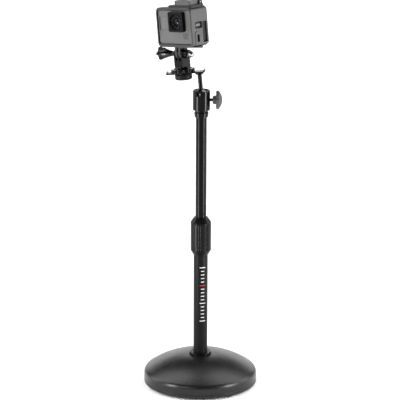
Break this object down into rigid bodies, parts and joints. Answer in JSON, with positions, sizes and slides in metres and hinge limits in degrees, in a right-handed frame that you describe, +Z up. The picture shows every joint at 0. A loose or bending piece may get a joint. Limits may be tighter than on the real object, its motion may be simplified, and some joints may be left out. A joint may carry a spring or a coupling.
{
  "type": "action camera on telescoping desk stand",
  "caption": "Small box-shaped camera in a skeleton frame, on a ball head over a telescoping tube with twist clutch and a heavy round domed base.",
  "frame": {"origin": "on the table, under the centre of the round base", "axes": "+Z up along the tube; -Y towards the viewer and the side the lens looks to, 44 degrees to the viewer's left; +X towards the ball head's lock knob"},
  "size_m": [0.1524, 0.1524, 0.527],
  "materials": {
    "ball_steel": "dark satin",
    "black_anodised": "gloss black anodised",
    "body_rubber": "soft-touch coat, fine grain",
    "brass": "turned",
    "bright_steel": "polished",
    "cell": "wrapped cell",
    "circuit": "laminate",
    "dark_plastic": "moulded, satin",
    "gloss_paint": "gloss black",
    "gloss_plastic": "moulded, gloss",
    "grey_plastic": "moulded, matte",
    "lens_glass": "coated",
    "rubber_pad": "matte",
    "satin_paint": "satin black",
    "screen_glass": "gloss",
    "textured_coat": "textured satin black powder coat",
    "white_plastic": "slippery bearing plastic",
    "zinc_steel": "zinc plated, satin"
  },
  "bodies": {
    "stand": {"base_casting": "textured_coat", "foot_pads": "rubber_pad", "base_bolt": "zinc_steel", "base_washer": "zinc_steel", "base_collar": "gloss_paint", "lower_tube": "satin_paint", "tube_plug": "zinc_steel", "clutch_bushing": "dark_plastic", "clutch_collet": "white_plastic"},
    "guide": {"guide_bush": "white_plastic"},
    "mast": {"inner_tube": "gloss_paint", "tube_end_fitting": "zinc_steel", "thread_adapter": "black_anodised", "ball_socket": "black_anodised"},
    "clutch_slip": {"clutch_washer": "white_plastic"},
    "clutch": {"clutch_sleeve": "dark_plastic"},
    "seat": {"seat_button": "white_plastic"},
    "ball": {"ball": "ball_steel"},
    "head": {"stem": "black_anodised", "mount_plate": "satin_paint"},
    "lock_tip": {"lock_pad": "white_plastic"},
    "lock": {"lock_screw": "zinc_steel", "lock_knob": "grey_plastic"},
    "carriage": {"slot_guide": "white_plastic"},
    "wheel_slip": {"wheel_washer": "zinc_steel"},
    "wheel": {"thumb_wheel": "dark_plastic", "camera_screw": "zinc_steel"},
    "adapter": {"adapter_body": "gloss_plastic", "adapter_insert": "brass", "acorn_nut": "bright_steel"},
    "clamp_slip": {"clamp_washer": "zinc_steel"},
    "clamp": {"clamp_screw": "zinc_steel", "clamp_knob": "gloss_plastic"},
    "camera": {"frame_shell": "grey_plastic", "latch_pin": "zinc_steel", "front_shell": "body_rubber", "rear_shell": "body_rubber", "lens_housing": "dark_plastic", "lens_window": "lens_glass", "lens_barrel": "dark_plastic", "front_element": "lens_glass", "image_sensor": "circuit", "sensor_board": "circuit", "main_board": "circuit", "battery": "cell", "speaker": "dark_plastic", "touch_screen": "screen_glass", "status_display": "screen_glass", "door_pin": "zinc_steel"},
    "latch": {"latch_lever": "grey_plastic"},
    "shutter": {"shutter_button": "dark_plastic"},
    "mode": {"mode_button": "dark_plastic"},
    "door": {"side_door": "body_rubber"},
    "catch": {"door_catch": "dark_plastic"}
  },
  "joints": [
    {"name": "mast_slide", "type": "slide", "parent": "stand", "child": "guide", "axis": [0, 0, 1], "range_m": [-0.133, 0]},
    {"name": "mast_swivel", "type": "hinge", "parent": "guide", "child": "mast", "pos_m": [0, 0, 0.3], "axis": [0, 0, 1], "continuous": true},
    {"name": "clutch_travel", "type": "slide", "parent": "stand", "child": "clutch_slip", "axis": [0, 0, 1], "range_m": [0, 0.0015]},
    {"name": "clutch_turn", "type": "hinge", "parent": "clutch_slip", "child": "clutch", "pos_m": [0, 0, 0.2065], "axis": [0, 0, 1], "range_deg": [0, 360]},
    {"name": "ball_pan", "type": "hinge", "parent": "mast", "child": "seat", "pos_m": [0, 0, 0.399], "axis": [0, 0, 1], "continuous": true},
    {"name": "ball_tilt", "type": "hinge", "parent": "seat", "child": "ball", "pos_m": [0, 0, 0.399], "axis": [-0.5355, -0.8446, 0], "range_deg": [-36, 23]},
    {"name": "ball_spin", "type": "hinge", "parent": "ball", "child": "head", "pos_m": [0, 0, 0.399], "axis": [-0.0958, 0.0608, 0.9935], "continuous": true},
    {"name": "lock_travel", "type": "slide", "parent": "mast", "child": "lock_tip", "axis": [1, 0, 0], "range_m": [0, 0.0012]},
    {"name": "lock_turn", "type": "hinge", "parent": "lock_tip", "child": "lock", "pos_m": [0.02, 0, 0.3923], "axis": [1, 0, 0], "range_deg": [0, 540]},
    {"name": "slot_slide", "type": "slide", "parent": "head", "child": "carriage", "axis": [0.9903, -0.095, 0.1013], "range_m": [-0.0045, 0.0029]},
    {"name": "wheel_travel", "type": "slide", "parent": "carriage", "child": "wheel_slip", "axis": [0.0958, -0.0608, -0.9935], "range_m": [0, 0.0013]},
    {"name": "wheel_turn", "type": "hinge", "parent": "wheel_slip", "child": "wheel", "pos_m": [-0.02342, 0.00355, 0.42199], "axis": [0.0958, -0.0608, -0.9935], "range_deg": [0, 360]},
    {"name": "adapter_turn", "type": "hinge", "parent": "carriage", "child": "adapter", "pos_m": [-0.02404, 0.00395, 0.42845], "axis": [-0.0958, 0.0608, 0.9935], "continuous": true},
    {"name": "clamp_travel", "type": "slide", "parent": "adapter", "child": "clamp_slip", "axis": [-0.7256, 0.679, -0.1115], "range_m": [0, 0.0012]},
    {"name": "clamp_turn", "type": "hinge", "parent": "clamp_slip", "child": "clamp", "pos_m": [-0.04088, 0.019, 0.45036], "axis": [-0.7256, 0.679, -0.1115], "range_deg": [0, 540]},
    {"name": "camera_tilt", "type": "hinge", "parent": "adapter", "child": "camera", "pos_m": [-0.02637, 0.00542, 0.45259], "axis": [0.7256, -0.679, 0.1115], "range_deg": [-70, 90]},
    {"name": "latch_open", "type": "hinge", "parent": "camera", "child": "latch", "pos_m": [-0.024, 0.0153, 0.52057], "axis": [-0.7256, 0.679, -0.1115], "range_deg": [0, 100]},
    {"name": "shutter_press", "type": "slide", "parent": "camera", "child": "shutter", "axis": [0.0804, -0.0774, -0.9938], "range_m": [0, 0.0006], "stiffness_N_per_m": 1500},
    {"name": "mode_press", "type": "slide", "parent": "camera", "child": "mode", "axis": [-0.7256, 0.679, -0.1115], "range_m": [0, 0.0005], "stiffness_N_per_m": 1500},
    {"name": "door_open", "type": "hinge", "parent": "camera", "child": "door", "pos_m": [-0.05395, 0.02213, 0.48539], "axis": [-0.0804, 0.0774, 0.9938], "range_deg": [0, 100]},
    {"name": "catch_slide", "type": "slide", "parent": "door", "child": "catch", "axis": [-0.0804, 0.0774, 0.9938], "range_m": [0, 0.0012]}
  ],
  "couplings": [
    {"joint": "clutch_travel", "follows": "clutch_turn", "m_per_rad": 0.00023873},
    {"joint": "lock_travel", "follows": "lock_turn", "m_per_rad": 0.00012732},
    {"joint": "wheel_travel", "follows": "wheel_turn", "m_per_rad": 0.00020213},
    {"joint": "clamp_travel", "follows": "clamp_turn", "m_per_rad": 0.00012732}
  ]
}
